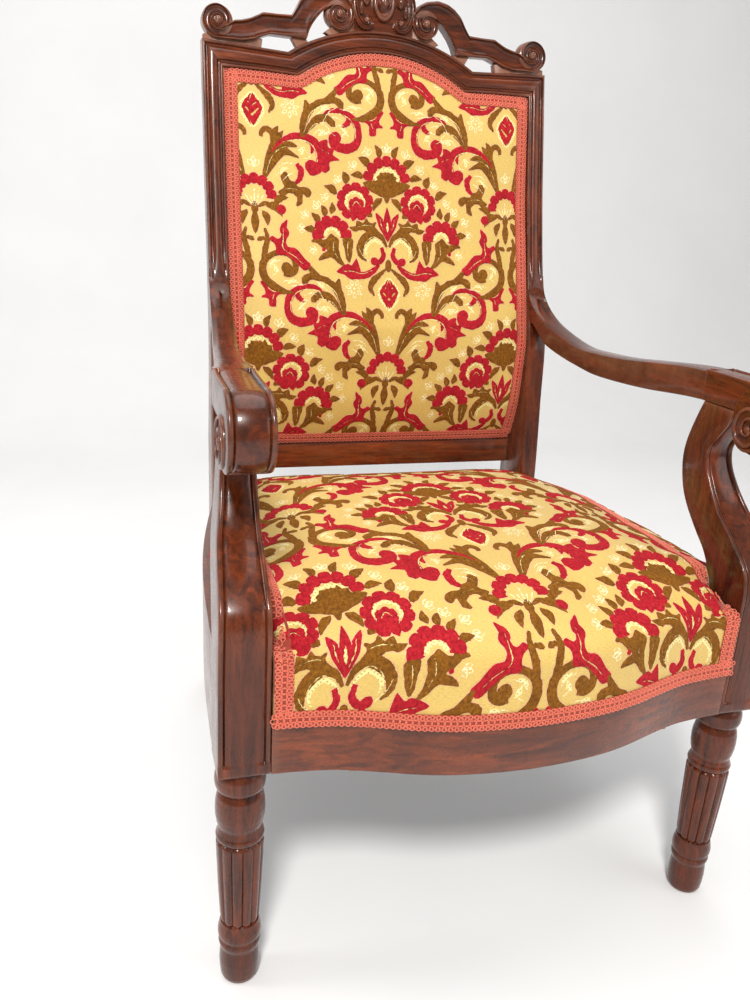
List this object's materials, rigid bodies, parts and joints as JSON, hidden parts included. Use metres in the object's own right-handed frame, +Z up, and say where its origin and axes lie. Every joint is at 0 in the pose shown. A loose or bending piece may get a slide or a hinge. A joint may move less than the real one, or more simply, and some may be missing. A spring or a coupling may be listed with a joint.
{
  "type": "armchair",
  "caption": "Open armchair: carved and moulded mahogany frame, scrolled arms, reeded front legs, sprung seat and upholstered back.",
  "frame": {"origin": "on the floor, under the middle of the chair's bounding box", "axes": "+Z up, -Y towards the front of the chair, +X to the right as seen from the front"},
  "size_m": [0.6228, 0.7148, 1.112],
  "materials": {
    "polished_wood": "french polished mahogany",
    "rail_wood": "french polished mahogany, plain figured",
    "raw_wood": "unfinished beech",
    "damask": "gold satin ground with crimson and olive cut velvet",
    "gimp": "woven coral braid",
    "jute": "woven jute",
    "stuffing": "horsehair stuffing",
    "steel": "drawn steel",
    "cambric": "black cambric"
  },
  "bodies": {
    "root": {"front_leg_right": "polished_wood", "front_leg_left": "polished_wood", "arm_support_right": "polished_wood", "arm_support_left": "polished_wood", "arm_right": "polished_wood", "arm_left": "polished_wood", "rear_post_right": "polished_wood", "rear_post_left": "polished_wood", "arm_screw_right": "steel", "arm_screw_left": "steel", "corner_dowel_right": "raw_wood", "corner_dowel_left": "raw_wood", "back_top_rail": "polished_wood", "back_crest": "polished_wood", "back_lower_rail": "rail_wood", "seat_rail_front": "rail_wood", "seat_rail_right": "polished_wood", "seat_rail_left": "polished_wood", "seat_rail_rear": "rail_wood", "corner_block_front_right": "raw_wood", "corner_block_front_left": "raw_wood", "corner_block_rear_right": "raw_wood", "corner_block_rear_left": "raw_wood", "seat_webbing": "jute", "seat_spring_1": "steel", "seat_spring_2": "steel", "seat_spring_3": "steel", "seat_spring_4": "steel", "seat_spring_5": "steel", "seat_hessian": "jute", "seat_stuffing": "stuffing", "seat_cover": "damask", "seat_gimp_front": "gimp", "seat_gimp_riser_right": "gimp", "seat_gimp_riser_left": "gimp", "seat_dust_cloth": "cambric", "back_panel_frame": "raw_wood", "back_webbing": "jute", "back_hessian": "jute", "back_stuffing": "stuffing", "back_cover": "damask", "back_gimp": "gimp", "back_outer_cover": "damask", "back_outer_gimp": "gimp"}
  },
  "joints": []
}
